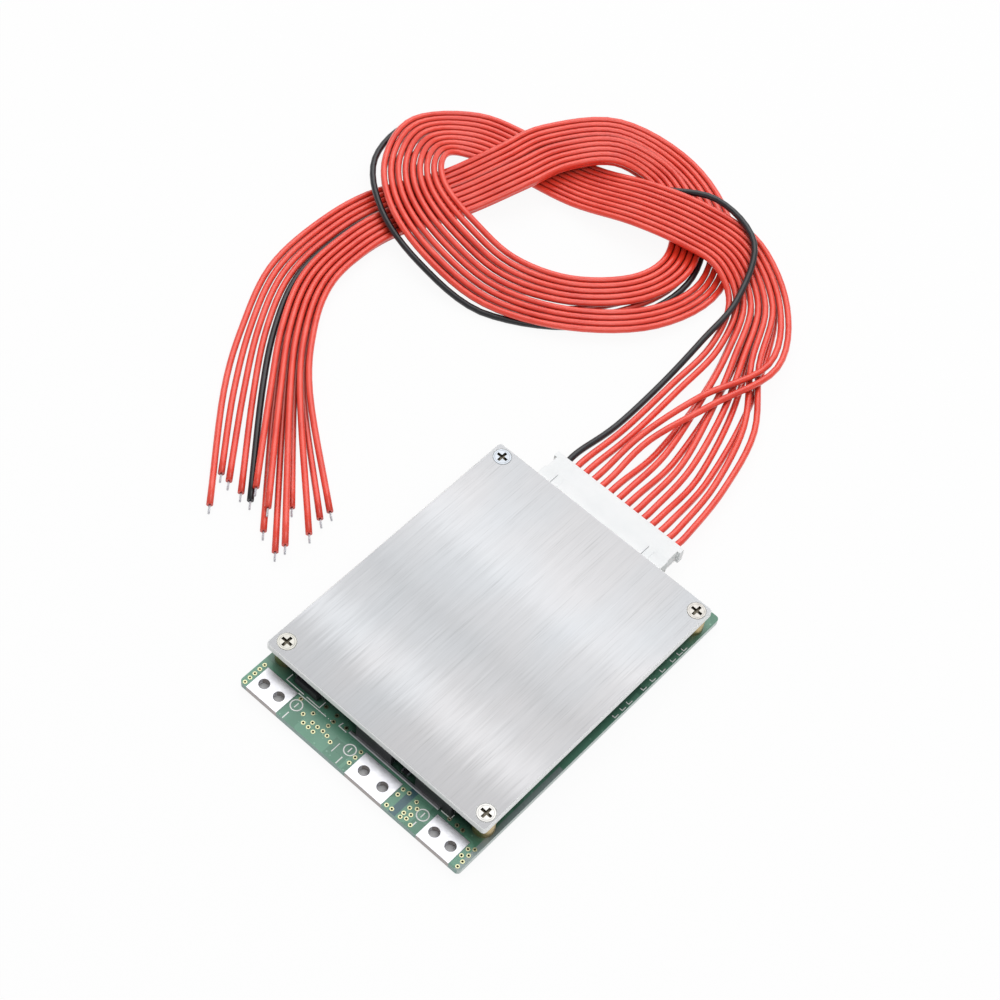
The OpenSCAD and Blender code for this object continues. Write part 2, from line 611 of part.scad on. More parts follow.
// Plug: a nose and two keys inside the header, a body, a back flange, and a chamber for each contact
module plug_housing() {
    nose_l = header_l - 2 * header_wall - 2 * plug_play;
    nose_y0 = header_y0 + back_wall + plug_play + 0.9;
    nose_t = nose_h - 2 * plug_play;
    color("white") difference() {
        union() {
            translate([conn_x - nose_l / 2, nose_y0, pin_z - nose_t / 2])
                cube([nose_l, mouth_y + 1 - nose_y0, nose_t]);
            translate([conn_x - plug_l / 2, mouth_y + plug_play, plug_z0])
                cube([plug_l, plug_back - plug_play, plug_h]);
            translate([conn_x - flange_l / 2, plug_y1 - flange_d, plug_z0])
                cube([flange_l, flange_d, plug_h]);
            for (s = [-1, 1])
                translate([conn_x + s * key_x - key_w / 2, mouth_y - key_l + plug_play, pin_z + 1])
                    cube([key_w, key_l, plug_h / 2 - 1]);
        }
        for (i = [0:ways - 1]) translate([way_x(i), nose_y0 - 1, pin_z - chamber_w / 2])
            translate([-chamber_w / 2, 0, 0]) cube([chamber_w, plug_y1 + 1 - nose_y0 + 1, chamber_w]);
        // Windows for the contacts' lances, on the underside
        for (i = [0:ways - 1]) translate([way_x(i), mouth_y + 1.9, plug_z0 - 1])
            block(lance_w, lance_d, plug_h / 2 + 1);
    }
}

// Crimp contacts: a box that takes the pin, and the barrel that holds the wire
module crimp_contacts() {
    drop = (chamber_w - contact_w) / 2;
    box_l = pin_tip_y + 0.6 - contact_y0;
    color("gainsboro") for (i = [0:ways - 1]) translate([way_x(i), contact_y0, pin_z]) difference() {
        union() {
            translate([-contact_w / 2, 0, -contact_w / 2 - drop]) cube([contact_w, box_l, contact_w]);
            translate([0, box_l - eps, 0]) rotate([-90, 0, 0])
                cylinder(plug_y1 - contact_y0 - box_l + eps, r = contact_w / 2);
        }
        translate([-pin_w / 2 - 0.03, -1, -pin_w / 2 - 0.03]) cube([pin_w + 0.06, box_l + 0.5, pin_w + 0.06]);
    }
}

// --- Harness ---

function unit(v) = v / norm(v);
PLAN = [[conn_x, plug_y1 + lead_len], for (s = concat(FAN, STATIONS)) [s[0], s[1]], AIM];
// Direction to the right of the strand at point k of the plan
function across(k) = let (t = unit(PLAN[k + 1] - PLAN[k - 1])) [t.y, -t.x];
function knot(k, side, z) = let (p = PLAN[k] + across(k) * side) [p.x, p.y, wire_z + z];
function lane(i, s) = let (g = LAYER[i]) s[5 + g] + RANK[i] * s[3] * (g == 0 ? s[4] : 1);
function level(i, s) = s[2] + [0, 1, s[9], s[10]][LAYER[i]] * layer_h;
function route(i) = [[way_x(i), plug_y1, pin_z], [way_x(i), plug_y1 + lead_len, pin_z],
                     for (k = [0:len(FAN) - 1]) knot(k + 1, FAN[k][2][i], FAN[k][3][i] * layer_h),
                     for (k = [0:len(STATIONS) - 1])
                         knot(k + len(FAN) + 1, lane(i, STATIONS[k]), level(i, STATIONS[k])),
                     [ENDS[i][0], ENDS[i][1], wire_z + ENDS[i][2] * layer_h]];

// Smooth curve through the points p, never lower than the surface
function curve(p) = [for (k = [0:len(p) - 2], j = [0:steps - 1]) bent(p, k, j / steps), p[len(p) - 1]];
function bent(p, k, t) = let (
    a = k > 0 ? p[k - 1] : 2 * p[0] - p[1],
    b = p[k],
    c = p[k + 1],
    d = k + 2 < len(p) ? p[k + 2] : 2 * c - b,
    q = (2 * b + (c - a) * t + (2 * a - 5 * b + 4 * c - d) * t * t + (3 * b - a - 3 * c + d) * t * t * t) / 2)
    [q.x, q.y, max(q.z, wire_d / 2)];

function heading(q, k) = let (n = len(q) - 1, v = q[min(k + 1, n)] - q[max(k - 1, 0)])
    unit(k == 0 || k == n ? [v.x, v.y, 0] : v);
function ring(q, k, r) = let (t = heading(q, k), u = unit([t.y, -t.x, 0]), w = cross(u, t))
    [for (j = [0:sides - 1]) let (a = (j + 0.5) * 360 / sides) q[k] + r * (cos(a) * u + sin(a) * w)];

module swept(q, r) {
    n = len(q);
    points = [for (k = [0:n - 1]) each ring(q, k, r)];
    walls = [for (k = [0:n - 2], j = [0:sides - 1]) let (a = k * sides, b = (j + 1) % sides)
             [a + j, a + b, a + sides + b, a + sides + j]];
    polyhedron(points, concat(walls, [[for (j = [sides - 1:-1:0]) j]],
                              [[for (j = [0:sides - 1]) (n - 1) * sides + j]]), convexity = 10);
}

module wire(i) {
    color(LAYER[i] == 3 ? [0.1, 0.12, 0.2] : [0.9, 0.25, 0.15]) swept(curve(route(i)), wire_d / 2);
}

module wire_tips() {
    color("gainsboro") for (i = [0:ways - 1]) {
        q = route(i);
        n = len(q) - 1;
        c = curve(q);
        t = heading(c, len(c) - 1);
        translate(q[n]) rotate([0, 90, atan2(t.y, t.x)]) cylinder(tip_l, r = tip_d / 2);
    }
}

pcb();
vias();
insulation_sheet();
heatsink_plate();
screw(SCREWS[0]);  // screw_1
screw(SCREWS[1]);  // screw_2
screw(SCREWS[2]);  // screw_3
screw(SCREWS[3]);  // screw_4
standoff(SCREWS[0]);  // standoff_1
standoff(SCREWS[1]);  // standoff_2
standoff(SCREWS[2]);  // standoff_3
standoff(SCREWS[3]);  // standoff_4
pad(PADS[0]);  // pad_b
pad(PADS[1]);  // pad_p
pad(PADS[2]);  // pad_c
bus_strip();
thermal_pad();
mosfet(0);  // mosfet_1
mosfet(1);  // mosfet_2
mosfet(2);  // mosfet_3
mosfet(3);  // mosfet_4
mosfet(4);  // mosfet_5
mosfet(5);  // mosfet_6
leadframe(0);  // leadframe_1
leadframe(1);  // leadframe_2
leadframe(2);  // leadframe_3
leadframe(3);  // leadframe_4
leadframe(4);  // leadframe_5
leadframe(5);  // leadframe_6
diode_body();
diode_leads();
shunt_resistors();
shunt_terminals();
control_ic();
control_ic_leads();
chips();
chip_terminals();
underside_chips();
underside_terminals();
connector_header();
header_pins();
solder_joints();
plug_housing();
crimp_contacts();
wire(0);  // wire_00
wire(1);  // wire_01
wire(2);  // wire_02
wire(3);  // wire_03
wire(4);  // wire_04
wire(5);  // wire_05
wire(6);  // wire_06
wire(7);  // wire_07
wire(8);  // wire_08
wire(9);  // wire_09
wire(10);  // wire_10
wire(11);  // wire_11
wire(12);  // wire_12
wire(13);  // wire_13
wire_tips();
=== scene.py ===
import math

import bmesh
import bpy
from mathutils import Matrix, Vector


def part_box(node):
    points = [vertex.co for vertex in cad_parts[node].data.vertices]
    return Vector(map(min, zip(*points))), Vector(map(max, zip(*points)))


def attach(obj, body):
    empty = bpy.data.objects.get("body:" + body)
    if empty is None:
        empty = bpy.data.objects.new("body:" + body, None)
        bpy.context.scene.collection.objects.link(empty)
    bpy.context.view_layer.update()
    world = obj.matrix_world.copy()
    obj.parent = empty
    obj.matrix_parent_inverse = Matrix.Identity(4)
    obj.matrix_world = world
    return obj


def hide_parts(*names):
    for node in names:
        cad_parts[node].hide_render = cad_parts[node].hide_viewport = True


MM = 0.001
UP = Vector((0, 0, 1))

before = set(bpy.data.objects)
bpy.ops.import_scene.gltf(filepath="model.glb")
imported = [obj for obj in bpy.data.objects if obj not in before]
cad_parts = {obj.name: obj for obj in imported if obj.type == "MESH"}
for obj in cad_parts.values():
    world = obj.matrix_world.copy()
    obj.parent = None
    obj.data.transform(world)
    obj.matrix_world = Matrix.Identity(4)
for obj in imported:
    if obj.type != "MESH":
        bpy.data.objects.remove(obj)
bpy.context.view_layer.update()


# --- Camera: the product view, from above the terminal edge's right end ---

def make_camera():
    place = Vector((0.1472, -0.2246, 0.4457))
    target = Vector((-0.02475, 0.03006, 0.0))
    data = bpy.data.cameras.new("camera")
    data.lens = 84.89
    data.sensor_width = 36.0
    data.clip_start = 0.01
    data.clip_end = 20.0
    camera = bpy.data.objects.new("camera", data)
    bpy.context.collection.objects.link(camera)
    look = (target - place).to_track_quat("-Z", "Y").to_matrix()
    roll = Matrix.Rotation(math.radians(9.6), 3, "Z")
    camera.matrix_world = Matrix.Translation(place) @ (look @ roll).to_4x4()
    bpy.context.scene.camera = camera


make_camera()


# --- Sizes taken from the frame ---

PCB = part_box("pcb")
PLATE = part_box("heatsink_plate")
FRONT_Y = PCB[0][1]
BOARD_TOP = PCB[1][2]
PLUG_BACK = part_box("plug_housing")[1][1]


# --- Harness: the same stations as the solids', in millimetres ---

WAYS = 14
PITCH = 2.5
WIRE_D = 1.6
WIRE_Z = WIRE_D / 2 + 0.02
LAYER_H = 1.68
LEAD = 5.0
CONN_X = -3.0
EXIT_Z = 4.3
# Each wire's layer (0 floor, 1 inner top, 2 outer top, 3 the black wire) and its rank in it
LAYER = [3, 1, 1, 2, 2, 0, 1, 0, 1, 1, 0, 0, 2, 2]
RANK = [0, -2, -1, 0.5, 1.5, -1.5, 0, -0.5, 1, 2, 0.5, 1.5, -1.5, -0.5]
# The fan behind the plug: x, y, each wire's sideways place and its height in layers
FAN = [
    (-4, 66, [(i - (WAYS - 1) / 2) * 2.3 for i in range(WAYS)],
     [0.6, 1.15, 1.15, 2.2, 2.2, 0, 1.15, 0, 1.15, 1.15, 0, 0, 1.15, 1.15]),
    (-6.5, 84, [-13, -10.8, -8.6, -3, 0.6, -3.4, -2.6, 0.2, 0.8, 3.4, 5.4, 8.4, 9.4, 12.2],
     [0.6, 1.1, 1.1, 2.15, 2.15, 0, 1.1, 0, 1.1, 1.1, 0, 0, 1.1, 1.1]),
    (-10, 101, [-10.5, -8.4, -6.4, 6.4, 8.6, -4.4, -4, -1.4, -2, 0.1, 1.6, 5.4, 2.3, 4.3],
     [2, 1.05, 1.05, 2.1, 2.1, 0, 1.05, 0, 1.05, 1.05, 0, 0, 1.05, 1.05]),
]
# Stations along the strand after the fan: x, y, lift, spacing, floor spread, sideways place of the
# floor, inner, outer and black wires, then the height of the outer and black layers
STATIONS = [
    (-17.5, 116.5, 0.6, 1.8, 1.6, 0, -3.6, 4.5, -5.5, 1, 2.1),
    (-30, 123.5, 3.2, 1.75, 1.6, 0, -3.5, 4.4, 4.5, 1, 2.2),
    (-43, 123, 3.5, 1.8, 1.6, 0.5, -3.6, 4.5, 10, 1, 1.5),
    (-57, 119, 3.4, 1.75, 1.5, -0.5, -3.5, 4.4, 7.8, 1, 0),
    (-73, 115, 0, 1.72, 1.5, -0.5, -3.4, 4.3, 6.8, 1, 0),
    (-90, 111.5, 0, 1.72, 1.5, -0.5, -3.4, 4.3, 6.4, 1, 0),
    (-103, 107.3, 0.2, 1.76, 1.5, 0, -3.4, 4.5, 6.4, 1, 0),
    (-109.5, 98, 1.6, 1.74, 1.6, 1, -3.1, 4.9, 7.8, 1, 0),
    (-106, 86, 4.6, 1.75, 1.6, 2, -4.2, 3.7, 9, 1, 0),
    (-97, 78.5, 4.2, 1.9, 1.7, 1.5, -4.6, 4, 9, 1, 0),
    (-83, 75, 3, 2.1, 1.7, 1, -4.8, 4.6, 9.4, 1, 0),
    (-67, 76, 0, 2.1, 1.7, 0.5, -4.8, 4.6, 9.2, 1, 0),
    (-51, 84, 0, 1.85, 1.6, -0.5, -3.7, 5.2, 6.6, 1, 0),
    (-39.5, 98, 0, 1.75, 1.3, -2.6, -3, 6.6, 3.3, 1, 0),
    (-37, 113, 0, 1.72, 1, -3, -3, 6.6, 1.6, 0, 0),
    (-45, 126.5, 0, 1.72, 1, -3, -3, 6.4, 1.6, 0, 0),
    (-60, 134, 0.6, 1.72, 1, -3.2, -2.6, 5.6, 1.2, 0, 0),
    (-74.5, 129.5, 4.2, 1.72, 1, -3.2, -3, 6, 1.5, 0, 0),
    (-84, 117, 4, 1.72, 1, -3.2, -3, 6.1, 1.6, 0, 0),
    (-87, 103.5, 4.6, 1.72, 1, -3.2, -3, 5.7, 1.3, 0, 0),
    (-93.5, 89, 0.7, 1.72, 1, -3.2, -3, 5.7, 1.3, 0, 0),
    (-101, 72, 0, 1.72, 1, -3.2, -3, 6.1, 1.6, 0, 0),
    (-102.5, 57, 0, 1.72, 1, -3, -3, 6.2, 1.9, 0, 0),
    (-100.5, 43, 0, 1.8, 1, -3, -3, 6.6, 2.2, 0, 0),
    (-93, 29, 0, 1.9, 1, -3, -3, 7.3, 2.6, 0, 0),
    (-81, 14, 0, 2.3, 1, -3, -3.2, 8.8, 3.4, 0, 0),
]
# Where each jacket ends: x, y, layers up
ENDS = [
    (-64.1, -11.2, 0), (-49.4, -0.5, 0), (-48.3, -8.4, 0.3), (-74, -10.7, 0), (-69.7, -18.5, 0),
    (-49.6, -3.5, 0), (-49.4, -14.9, 1), (-56.2, -5.9, 0), (-59.2, -10.5, 1), (-65, -8.5, 1),
    (-50.4, -17, 0), (-56.2, -14.9, 0), (-67.1, -11.2, 0), (-71.3, -10.9, 0),
]
# The point that the strand's end heads for
AIM = (-62, -9)
PLAN = [Vector((CONN_X, PLUG_BACK / MM + LEAD))]
PLAN += [Vector(s[:2]) for s in FAN + STATIONS] + [Vector(AIM)]
# Steps of the curve between two stations, and sides of a jacket
STEPS = 6
SIDES = 14


def unit(v):
    return v.normalized()


def knot(k, side, z):
    """Point k of the plan, moved to the right of the strand by side and up by z."""
    t = unit(PLAN[k + 1] - PLAN[k - 1])
    p = PLAN[k] + Vector((t.y, -t.x)) * side
    return Vector((p.x, p.y, WIRE_Z + z))


def route(i):
    """Points of wire i, in metres, from the plug to the end of its jacket."""
    x = CONN_X + (i - (WAYS - 1) / 2) * PITCH
    back = PLUG_BACK / MM
    points = [Vector((x, back, EXIT_Z)), Vector((x, back + LEAD, EXIT_Z))]
    points += [knot(k + 1, s[2][i], s[3][i] * LAYER_H) for k, s in enumerate(FAN)]
    layer = LAYER[i]
    for k, s in enumerate(STATIONS):
        side = s[5 + layer] + RANK[i] * s[3] * (s[4] if layer == 0 else 1)
        level = (0, 1, s[9], s[10])[layer]
        points.append(knot(k + len(FAN) + 1, side, s[2] + level * LAYER_H))
    x, y, up = ENDS[i]
    points.append(Vector((x, y, WIRE_Z + up * LAYER_H)))
    return [p * MM for p in points]


def smooth(points, steps):
    """Catmull-Rom curve through the points, never lower than the surface."""
    out = []
    for k in range(len(points) - 1):
        b, c = points[k], points[k + 1]
        a = points[k - 1] if k > 0 else 2 * b - c
        d = points[k + 2] if k + 2 < len(points) else 2 * c - b
        for j in range(steps):
            t = j / steps
            q = (2 * b + (c - a) * t + (2 * a - 5 * b + 4 * c - d) * t * t
                 + (3 * b - a - 3 * c + d) * t ** 3) / 2
            q.z = max(q.z, WIRE_D / 2 * MM)
            out.append(q)
    out.append(points[-1])
    return out


def new_object(name, mesh):
    obj = bpy.data.objects.new(name, mesh)
    bpy.context.collection.objects.link(obj)
    return obj


def object_of(name, bm):
    """A new object of that name with the mesh that bm holds; bm is freed."""
    mesh = bpy.data.meshes.new(name)
    bm.to_mesh(mesh)
    bm.free()
    return new_object(name, mesh)


def smooth_walls(mesh):
    """Smooth shading for a tube's walls, and flat ends."""
    for poly in mesh.polygons:
        poly.use_smooth = len(poly.vertices) == 4


def frames(path):
    """Two sides at each point of the path, carried along without twist."""
    tangents = []
    for k in range(len(path)):
        v = path[min(k + 1, len(path) - 1)] - path[max(k - 1, 0)]
        if k in (0, len(path) - 1):
            v.z = 0.0
        tangents.append(unit(v))
    side = unit(tangents[0].cross(UP))
    out = []
    for t in tangents:
        side = unit(side - t * side.dot(t))
        out.append((side, side.cross(t)))
    return out


def tube(name, path, radius, sides):
    """A closed tube along path."""
    verts, faces = [], []
    for p, (u, w) in zip(path, frames(path)):
        for j in range(sides):
            a = 2 * math.pi * j / sides
            verts.append(p + radius * (math.cos(a) * u + math.sin(a) * w))
    for k in range(len(path) - 1):
        for j in range(sides):
            a, b = k * sides, (j + 1) % sides
            faces.append((a + j, a + b, a + sides + b, a + sides + j))
    faces.append(tuple(range(sides - 1, -1, -1)))
    faces.append(tuple((len(path) - 1) * sides + j for j in range(sides)))
    mesh = bpy.data.meshes.new(name)
    mesh.from_pydata(verts, [], faces)
    smooth_walls(mesh)
    bm = bmesh.new()
    bm.from_mesh(mesh)
    bmesh.ops.recalc_face_normals(bm, faces=bm.faces)
    bm.to_mesh(mesh)
    bm.free()
    return new_object(name, mesh)


# --- Material building blocks ---

class Shader:
    """A material with a Principled surface, and short calls for the nodes that feed it."""

    def __init__(self, name, color, rough, metal=0.0, **inputs):
        self.mat = bpy.data.materials.new(name)
        self.mat.use_nodes = True
        self.tree = self.mat.node_tree
        self.bsdf = self.tree.nodes["Principled BSDF"]
        self.set("Base Color", (*color, 1))
        self.set("Roughness", rough)
        self.set("Metallic", metal)
        for key, value in inputs.items():
            self.set(key.replace("_", " "), value)
        self.coords = self.tree.nodes.new("ShaderNodeTexCoord").outputs["Object"]

    def set(self, name, value):
        self.bsdf.inputs[name].default_value = value

    def node(self, kind, **settings):
        n = self.tree.nodes.new(kind)
        for key, value in settings.items():
            setattr(n, key, value)
        return n

    def link(self, source, target):
        self.tree.links.new(source, target)

    def scaled(self, scale):
        n = self.node("ShaderNodeMapping")
        n.inputs["Scale"].default_value = scale
        self.link(self.coords, n.inputs["Vector"])
        return n.outputs["Vector"]

    def noise(self, scale, stretch=(1, 1, 1), detail=3.0, rough=0.55):
        n = self.node("ShaderNodeTexNoise")
        n.inputs["Scale"].default_value = scale
        n.inputs["Detail"].default_value = detail
        n.inputs["Roughness"].default_value = rough
        self.link(self.scaled(stretch), n.inputs["Vector"])
        return n.outputs["Fac"]

    def cells(self, scale, distance):
        n = self.node("ShaderNodeTexVoronoi", distance=distance, feature="F1")
        n.inputs["Scale"].default_value = scale
        self.link(self.coords, n.inputs["Vector"])
        return n

    def ramp(self, fac, *stops, ease="LINEAR"):
        """stops are (position, colour) or (position, grey)."""
        n = self.node("ShaderNodeValToRGB")
        n.color_ramp.interpolation = ease
        e = n.color_ramp.elements
        while len(e) < len(stops):
            e.new(0.5)
        for k, (pos, c) in enumerate(stops):
            e[k].position = pos
            e[k].color = (*c, 1) if hasattr(c, "__len__") else (c, c, c, 1)
        self.link(fac, n.inputs["Fac"])
        return n.outputs["Color"]

    def mix(self, fac, a, b, blend="MIX"):
        n = self.node("ShaderNodeMix", data_type="RGBA", blend_type=blend)
        for value, socket in ((fac, 0), (a, 6), (b, 7)):
            if hasattr(value, "links"):
                self.link(value, n.inputs[socket])
            elif hasattr(value, "__len__"):
                n.inputs[socket].default_value = (*value, 1)
            else:
                n.inputs[socket].default_value = value
        return n.outputs[2]

    def math(self, operation, a, b=0.0):
        n = self.node("ShaderNodeMath", operation=operation)
        for value, socket in ((a, 0), (b, 1)):
            if hasattr(value, "links"):
                self.link(value, n.inputs[socket])
            else:
                n.inputs[socket].default_value = value
        return n.outputs[0]

    def place(self, which, start, end):
        """0 to 1 along one axis, from start to end in metres."""
        n = self.node("ShaderNodeMapRange")
        n.inputs["From Min"].default_value = start
        n.inputs["From Max"].default_value = end
        self.link(self.axis(which), n.inputs["Value"])
        return n.outputs[0]

    def axis(self, which, source=None):
        n = self.node("ShaderNodeSeparateXYZ")
        self.link(source or self.coords, n.inputs[0])
        return n.outputs["XYZ".index(which)]

    def normal_axis(self, which):
        return self.axis(which, self.node("ShaderNodeNewGeometry").outputs["Normal"])

    def openness(self, reach):
        """1 where the surface lies open, falling to 0 deep under or between other parts."""
        n = self.node("ShaderNodeAmbientOcclusion", samples=8)
        n.inputs["Distance"].default_value = reach
        return n.outputs["AO"]

    def color(self, socket):
        self.link(socket, self.bsdf.inputs["Base Color"])

    def rough(self, fac, low, high):
        n = self.node("ShaderNodeMapRange")
        n.inputs["To Min"].default_value = low
        n.inputs["To Max"].default_value = high
        self.link(fac, n.inputs["Value"])
        self.link(n.outputs[0], self.bsdf.inputs["Roughness"])

    def bump(self, height, strength, distance):
        n = self.node("ShaderNodeBump")
        n.inputs["Strength"].default_value = strength
        n.inputs["Distance"].default_value = distance
        self.link(height, n.inputs["Height"])
        self.link(n.outputs[0], self.bsdf.inputs["Normal"])


# --- Materials ---

def jacket(name, dark, mid, light, gloss):
    """PVC wire jacket: satin, with faint mottling, fine drawing marks and painted shade where other
    wires lie close.
    """
    s = Shader(name, mid, rough=0.4, Coat_Weight=gloss, Coat_Roughness=0.24)
    tone = s.ramp(s.noise(160, detail=2), (0.3, dark), (0.52, mid), (0.75, light))
    # Painted shade: the colour darkens where other wires or parts lie close
    painted_shade = s.ramp(s.openness(0.0022), (0.25, 0.45), (0.8, 1.0))
    s.color(s.mix(1.0, tone, painted_shade, "MULTIPLY"))
    fine = s.noise(2600, detail=2)
    s.rough(fine, 0.28, 0.45)
    s.bump(fine, 0.08, 0.00004)
    return s.mat


def solder_mask():
    """Green lacquer over copper pours, with bare laminate on the edges, painted shade under the
    plate, a painted reflection along the right edge and a painted lit right edge.
    """
    s = Shader("green_board", (0.11, 0.30, 0.19), rough=0.3, Coat_Weight=0.3, Coat_Roughness=0.15)
    # Copper pours under the lacquer, and clouds in it
    pour_low, pour_high = 0.30, 0.34
    pour = s.axis("X", s.cells(150, "CHEBYCHEV").outputs["Color"])
    mask = s.ramp(pour, (pour_low, (0.075, 0.225, 0.145)), (pour_high, (0.120, 0.315, 0.210)))
    clouds = s.ramp(s.noise(90, detail=2), (0.4, 0.0), (0.7, 0.5))
    mask = s.mix(clouds, mask, (0.165, 0.40, 0.29))
    # Tiny pale marks
    dots = s.ramp(s.cells(620, "EUCLIDEAN").outputs["Distance"], (0.10, 0.45), (0.16, 0.0))
    mask = s.mix(dots, mask, (0.34, 0.60, 0.46))
    # A dark stripe between the pack and charge pads
    stripe = s.ramp(s.place("X", 0.0120, 0.0140), (0.0, 0.0), (0.08, 1.0), (0.9, 1.0), (1.0, 0.0))
    front = s.ramp(s.place("Y", FRONT_Y, FRONT_Y + 0.009), (0.95, 1.0), (1.0, 0.0))
    mask = s.mix(s.math("MULTIPLY", stripe, front), mask, (0.045, 0.13, 0.155))
    # A grey strip along the right edge's front part: a painted reflection of the board's glancing
    # glint
    strip = s.math("MULTIPLY", s.math("GREATER_THAN", s.axis("X"), PCB[1][0] - 0.0012),
                   s.math("LESS_THAN", s.axis("Y"), -0.013))
    mask = s.mix(s.math("MULTIPLY", strip, 0.8), mask, (0.30, 0.35, 0.36))
    # Painted shade: darker under the plate and close to other parts
    painted_shade = s.ramp(s.openness(0.008), (0.25, 0.12), (0.85, 1.0))
    mask = s.mix(1.0, mask, painted_shade, "MULTIPLY")
    # Laminate on the edges, with painted light making the right one paler
    grain = s.noise(500, (1, 1, 6))
    edge = s.ramp(grain, (0.3, (0.10, 0.24, 0.20)), (0.7, (0.16, 0.31, 0.27)))
    pale = s.ramp(grain, (0.3, (0.36, 0.46, 0.43)), (0.7, (0.50, 0.60, 0.57)))
    edge = s.mix(s.math("GREATER_THAN", s.normal_axis("X"), 0.5), edge, pale)
    flat = s.math("GREATER_THAN", s.math("ABSOLUTE", s.normal_axis("Z")), 0.5)
    s.color(s.mix(flat, edge, mask))
    s.rough(s.noise(700), 0.2, 0.42)
    s.bump(s.ramp(pour, (pour_low, 0.0), (pour_high, 1.0)), 0.12, 0.00003)
    return s.mat


def brushed_aluminium():
    """Sheet aluminium with long brush marks along Y, broad soft bands of painted reflection across
    them, and side faces painted as lit.
    """
    s = Shader("brushed_aluminium", (0.8, 0.81, 0.83), rough=0.36, metal=1.0)
    fine = s.noise(3400, (1, 0.016, 1), detail=5, rough=0.75)
    long = s.noise(1100, (1, 0.03, 1), detail=3, rough=0.6)
    # Painted reflection: broad light and dark bands that run from the front edge, 0, to the back
    # edge, 1, and fray along the brush marks
    drift = s.math("SUBTRACT", s.noise(1400, (1, 0.02, 1), detail=3), 0.5)
    along = s.math("ADD", s.place("Y", PLATE[0][1], PLATE[1][1]), s.math("MULTIPLY", drift, 0.16))
    tone = s.ramp(along, (0.0, 0.48), (0.08, 0.495), (0.2, 0.64), (0.32, 0.54), (0.42, 0.50),
                  (0.5, 0.54), (0.58, 0.575), (0.68, 0.65), (0.75, 0.635), (0.81, 0.605),
                  (0.92, 0.57), (1.0, 0.555), ease="EASE")
    streaks = s.ramp(fine, (0.30, 0.72), (0.44, 0.93), (0.58, 0.96), (0.70, 1.0))
    bands = s.ramp(long, (0.32, 0.94), (0.60, 1.0))
    tone = s.mix(1.0, s.mix(1.0, tone, streaks, "MULTIPLY"), bands, "MULTIPLY")
    wide = s.noise(55, (1, 0.6, 1), detail=1)
    tint = s.ramp(wide, (0.35, (0.94, 0.965, 1.0)), (0.65, (0.975, 0.97, 0.99)))
    tone = s.mix(1.0, tone, tint, "MULTIPLY")
    # Painted highlight: the side faces are near white and less metallic, as where light catches
    # them
    edges = s.math("LESS_THAN", s.math("ABSOLUTE", s.normal_axis("Z")), 0.9)
    s.color(s.mix(edges, tone, (0.95, 0.96, 0.96)))
    s.link(s.math("SUBTRACT", 0.8, s.math("MULTIPLY", edges, 0.65)), s.bsdf.inputs["Metallic"])
    marks = s.math("ADD", s.math("MULTIPLY", fine, 0.6), s.math("MULTIPLY", long, 0.4))
    s.rough(marks, 0.42, 0.58)
    s.bump(fine, 0.10, 0.00004)
    return s.mat


def tinned(name, low, high, edge=None):
    """Hot-tinned copper: bright and slightly wavy, with the colour edge on its front faces."""
    s = Shader(name, (0.82, 0.82, 0.84), rough=0.3, metal=1.0)
    waves = s.noise(420, detail=2)
    tone = s.ramp(waves, (0.3, (0.56, 0.56, 0.60)), (0.55, (0.63, 0.63, 0.66)),
                  (0.8, (0.67, 0.67, 0.69)))
    if edge:
        front = s.math("LESS_THAN", s.normal_axis("Y"), -0.5)
        tone = s.mix(front, tone, edge)
    s.color(tone)
    s.rough(s.noise(1100), low, high)
    s.bump(waves, 0.25, 0.0001)
    return s.mat


def moulded(name, color, rough, grain=2200):
    """Moulded plastic or epoxy with a fine grain."""
    s = Shader(name, color, rough=rough)
    lighter = tuple(min(1.0, c * 1.25 + 0.01) for c in color)
    darker = tuple(c * 0.8 for c in color)
    s.color(s.ramp(s.noise(240), (0.3, darker), (0.55, color), (0.8, lighter)))
    fine = s.noise(grain, detail=2)
    s.rough(fine, rough - 0.1, rough + 0.1)
    s.bump(fine, 0.2, 0.00004)
    return s.mat


def metal(name, color, rough, stretch=(1, 1, 1)):
    """Turned, plated or cast metal with fine marks."""
    s = Shader(name, color, rough=rough, metal=1.0)
    marks = s.noise(1800, stretch)
    darker = tuple(c * 0.75 for c in color)
    s.color(s.ramp(marks, (0.3, darker), (0.6, color)))
    s.rough(marks, rough - 0.08, rough + 0.1)
    s.bump(marks, 0.15, 0.00004)
    return s.mat


def screw_metal(name, tint):
    """Nickel-plated steel, with two dark rings painted on the head, the outer one a painted shadow
    at its rim, and painted shade in the cross recess.
    """
    low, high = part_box(name)
    s = Shader(f"nickel_{name}", tint, rough=0.3, metal=1.0)
    marks = s.noise(900, detail=2)
    face = s.ramp(marks, (0.3, tuple(0.8 * c for c in tint)), (0.6, tint))
    across = [s.math("POWER", s.math("SUBTRACT", s.axis(a), (low[k] + high[k]) / 2), 2.0)
              for k, a in enumerate("XY")]
    # 0 on the screw's axis, 1 at the head's rim
    from_axis = s.math("DIVIDE", s.math("SQRT", s.math("ADD", *across)), (high[0] - low[0]) / 2)
    # Two dark rings: a painted shadow at the head's rim, and a dark ring at four fifths of its
    # radius
    rings = s.ramp(from_axis, (0.76, 1.0), (0.80, 0.45), (0.84, 1.0), (0.94, 1.0), (0.98, 0.35))
    face = s.mix(1.0, face, rings, "MULTIPLY")
    # Painted shade: the cross recess, from 0.1 to 0.3 mm below the head's top, turns dark
    shaded_recess_mask = s.place("Z", high[2] - 0.00030, high[2] - 0.00010)
    s.color(s.mix(shaded_recess_mask, (0.10, 0.09, 0.07), face))
    s.rough(marks, 0.28, 0.42)
    s.bump(marks, 0.1, 0.00003)
    return s.mat


